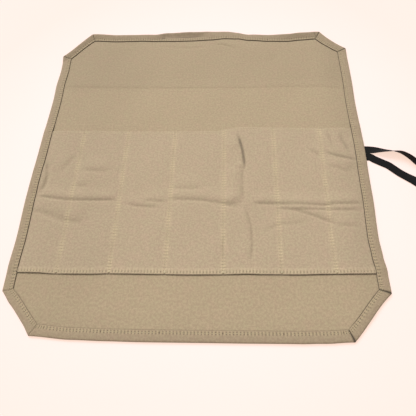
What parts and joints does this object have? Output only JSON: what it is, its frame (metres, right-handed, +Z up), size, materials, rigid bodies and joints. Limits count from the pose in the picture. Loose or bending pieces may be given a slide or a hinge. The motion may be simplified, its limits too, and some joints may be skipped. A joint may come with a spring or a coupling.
{
  "type": "carving tool roll",
  "caption": "Flat canvas tool roll with cut corners, folded edge binding, a row of sewn pockets, top and bottom flaps that fold over them, and a tie tape on one side.",
  "frame": {"origin": "under the middle of the cloth laid open, on the surface it lies on", "axes": "+X to the side with the tie tape, +Y to the top flap, +Z up out of the pocket side"},
  "size_m": [0.5485, 0.447, 0.0105],
  "materials": {
    "canvas": "khaki-grey cotton canvas, plain weave, matt",
    "pocket_canvas": "the same canvas, as the pocket front",
    "binding": "folded self-coloured canvas binding with one row of top stitching",
    "tie_tape": "black cotton twill tape, 10 mm wide"
  },
  "bodies": {
    "column_1": {"back_panel_1": "canvas", "pocket_front_1": "pocket_canvas", "left_binding": "binding"},
    "column_2": {"back_panel_2": "canvas", "pocket_front_2": "pocket_canvas"},
    "column_3": {"back_panel_3": "canvas", "pocket_front_3": "pocket_canvas"},
    "column_4": {"back_panel_4": "canvas", "pocket_front_4": "pocket_canvas"},
    "column_5": {"back_panel_5": "canvas", "pocket_front_5": "pocket_canvas"},
    "column_6": {"back_panel_6": "canvas", "pocket_front_6": "pocket_canvas"},
    "column_7": {"back_panel_7": "canvas", "pocket_front_7": "pocket_canvas", "right_binding": "binding", "tie_fold": "tie_tape", "tie_tail_upper": "tie_tape", "tie_tail_lower": "tie_tape", "tie_coil_upper": "tie_tape", "tie_coil_lower": "tie_tape"},
    "top_flap_cell_1": {"top_flap_1": "canvas", "top_binding_1": "binding"},
    "bottom_flap_cell_1": {"bottom_flap_1": "canvas", "bottom_binding_1": "binding"},
    "top_flap_cell_2": {"top_flap_2": "canvas", "top_binding_2": "binding"},
    "bottom_flap_cell_2": {"bottom_flap_2": "canvas", "bottom_binding_2": "binding"},
    "top_flap_cell_3": {"top_flap_3": "canvas", "top_binding_3": "binding"},
    "bottom_flap_cell_3": {"bottom_flap_3": "canvas", "bottom_binding_3": "binding"},
    "top_flap_cell_4": {"top_flap_4": "canvas", "top_binding_4": "binding"},
    "bottom_flap_cell_4": {"bottom_flap_4": "canvas", "bottom_binding_4": "binding"},
    "top_flap_cell_5": {"top_flap_5": "canvas", "top_binding_5": "binding"},
    "bottom_flap_cell_5": {"bottom_flap_5": "canvas", "bottom_binding_5": "binding"},
    "top_flap_cell_6": {"top_flap_6": "canvas", "top_binding_6": "binding"},
    "bottom_flap_cell_6": {"bottom_flap_6": "canvas", "bottom_binding_6": "binding"},
    "top_flap_cell_7": {"top_flap_7": "canvas", "top_binding_7": "binding"},
    "bottom_flap_cell_7": {"bottom_flap_7": "canvas", "bottom_binding_7": "binding"}
  },
  "joints": [
    {"name": "roll_6", "type": "hinge", "parent": "column_7", "child": "column_6", "pos_m": [0.156, 0, 0.0015], "axis": [0, 1, 0], "range_deg": [0, 60]},
    {"name": "roll_5", "type": "hinge", "parent": "column_6", "child": "column_5", "pos_m": [0.097, 0, 0.0015], "axis": [0, 1, 0], "range_deg": [0, 63]},
    {"name": "roll_4", "type": "hinge", "parent": "column_5", "child": "column_4", "pos_m": [0.034, 0, 0.0015], "axis": [0, 1, 0], "range_deg": [0, 66]},
    {"name": "roll_3", "type": "hinge", "parent": "column_4", "child": "column_3", "pos_m": [-0.03, 0, 0.0015], "axis": [0, 1, 0], "range_deg": [0, 72]},
    {"name": "roll_2", "type": "hinge", "parent": "column_3", "child": "column_2", "pos_m": [-0.092, 0, 0.0015], "axis": [0, 1, 0], "range_deg": [0, 78]},
    {"name": "roll_1", "type": "hinge", "parent": "column_2", "child": "column_1", "pos_m": [-0.152, 0, 0.0015], "axis": [0, 1, 0], "range_deg": [0, 80]},
    {"name": "top_fold_7", "type": "hinge", "parent": "column_7", "child": "top_flap_cell_7", "pos_m": [0.183, 0.11, 0.00295], "axis": [1, 0, 0], "range_deg": [0, 180]},
    {"name": "top_fold_6", "type": "hinge", "parent": "column_6", "child": "top_flap_cell_6", "pos_m": [0.1265, 0.11, 0.00295], "axis": [1, 0, 0], "range_deg": [0, 180]},
    {"name": "top_fold_5", "type": "hinge", "parent": "column_5", "child": "top_flap_cell_5", "pos_m": [0.0655, 0.11, 0.00295], "axis": [1, 0, 0], "range_deg": [0, 180]},
    {"name": "top_fold_4", "type": "hinge", "parent": "column_4", "child": "top_flap_cell_4", "pos_m": [0.002, 0.11, 0.00295], "axis": [1, 0, 0], "range_deg": [0, 180]},
    {"name": "top_fold_3", "type": "hinge", "parent": "column_3", "child": "top_flap_cell_3", "pos_m": [-0.061, 0.11, 0.00295], "axis": [1, 0, 0], "range_deg": [0, 180]},
    {"name": "top_fold_2", "type": "hinge", "parent": "column_2", "child": "top_flap_cell_2", "pos_m": [-0.122, 0.11, 0.00295], "axis": [1, 0, 0], "range_deg": [0, 180]},
    {"name": "top_fold_1", "type": "hinge", "parent": "column_1", "child": "top_flap_cell_1", "pos_m": [-0.181, 0.11, 0.00295], "axis": [1, 0, 0], "range_deg": [0, 180]},
    {"name": "bottom_fold_7", "type": "hinge", "parent": "column_7", "child": "bottom_flap_cell_7", "pos_m": [0.183, -0.1595, 0.00295], "axis": [-1, 0, 0], "range_deg": [0, 180]},
    {"name": "bottom_fold_6", "type": "hinge", "parent": "column_6", "child": "bottom_flap_cell_6", "pos_m": [0.1265, -0.1595, 0.00295], "axis": [-1, 0, 0], "range_deg": [0, 180]},
    {"name": "bottom_fold_5", "type": "hinge", "parent": "column_5", "child": "bottom_flap_cell_5", "pos_m": [0.0655, -0.1595, 0.00295], "axis": [-1, 0, 0], "range_deg": [0, 180]},
    {"name": "bottom_fold_4", "type": "hinge", "parent": "column_4", "child": "bottom_flap_cell_4", "pos_m": [0.002, -0.1595, 0.00295], "axis": [-1, 0, 0], "range_deg": [0, 180]},
    {"name": "bottom_fold_3", "type": "hinge", "parent": "column_3", "child": "bottom_flap_cell_3", "pos_m": [-0.061, -0.1595, 0.00295], "axis": [-1, 0, 0], "range_deg": [0, 180]},
    {"name": "bottom_fold_2", "type": "hinge", "parent": "column_2", "child": "bottom_flap_cell_2", "pos_m": [-0.122, -0.1595, 0.00295], "axis": [-1, 0, 0], "range_deg": [0, 180]},
    {"name": "bottom_fold_1", "type": "hinge", "parent": "column_1", "child": "bottom_flap_cell_1", "pos_m": [-0.181, -0.1595, 0.00295], "axis": [-1, 0, 0], "range_deg": [0, 180]}
  ],
  "couplings": [
    {"joint": "roll_5", "follows": "roll_6", "ratio": 1.05},
    {"joint": "roll_4", "follows": "roll_6", "ratio": 1.1},
    {"joint": "roll_3", "follows": "roll_6", "ratio": 1.2},
    {"joint": "roll_2", "follows": "roll_6", "ratio": 1.3},
    {"joint": "roll_1", "follows": "roll_6", "ratio": 1.3333},
    {"joint": "top_fold_6", "follows": "top_fold_7", "ratio": 1},
    {"joint": "top_fold_5", "follows": "top_fold_7", "ratio": 1},
    {"joint": "top_fold_4", "follows": "top_fold_7", "ratio": 1},
    {"joint": "top_fold_3", "follows": "top_fold_7", "ratio": 1},
    {"joint": "top_fold_2", "follows": "top_fold_7", "ratio": 1},
    {"joint": "top_fold_1", "follows": "top_fold_7", "ratio": 1},
    {"joint": "bottom_fold_6", "follows": "bottom_fold_7", "ratio": 1},
    {"joint": "bottom_fold_5", "follows": "bottom_fold_7", "ratio": 1},
    {"joint": "bottom_fold_4", "follows": "bottom_fold_7", "ratio": 1},
    {"joint": "bottom_fold_3", "follows": "bottom_fold_7", "ratio": 1},
    {"joint": "bottom_fold_2", "follows": "bottom_fold_7", "ratio": 1},
    {"joint": "bottom_fold_1", "follows": "bottom_fold_7", "ratio": 1}
  ]
}
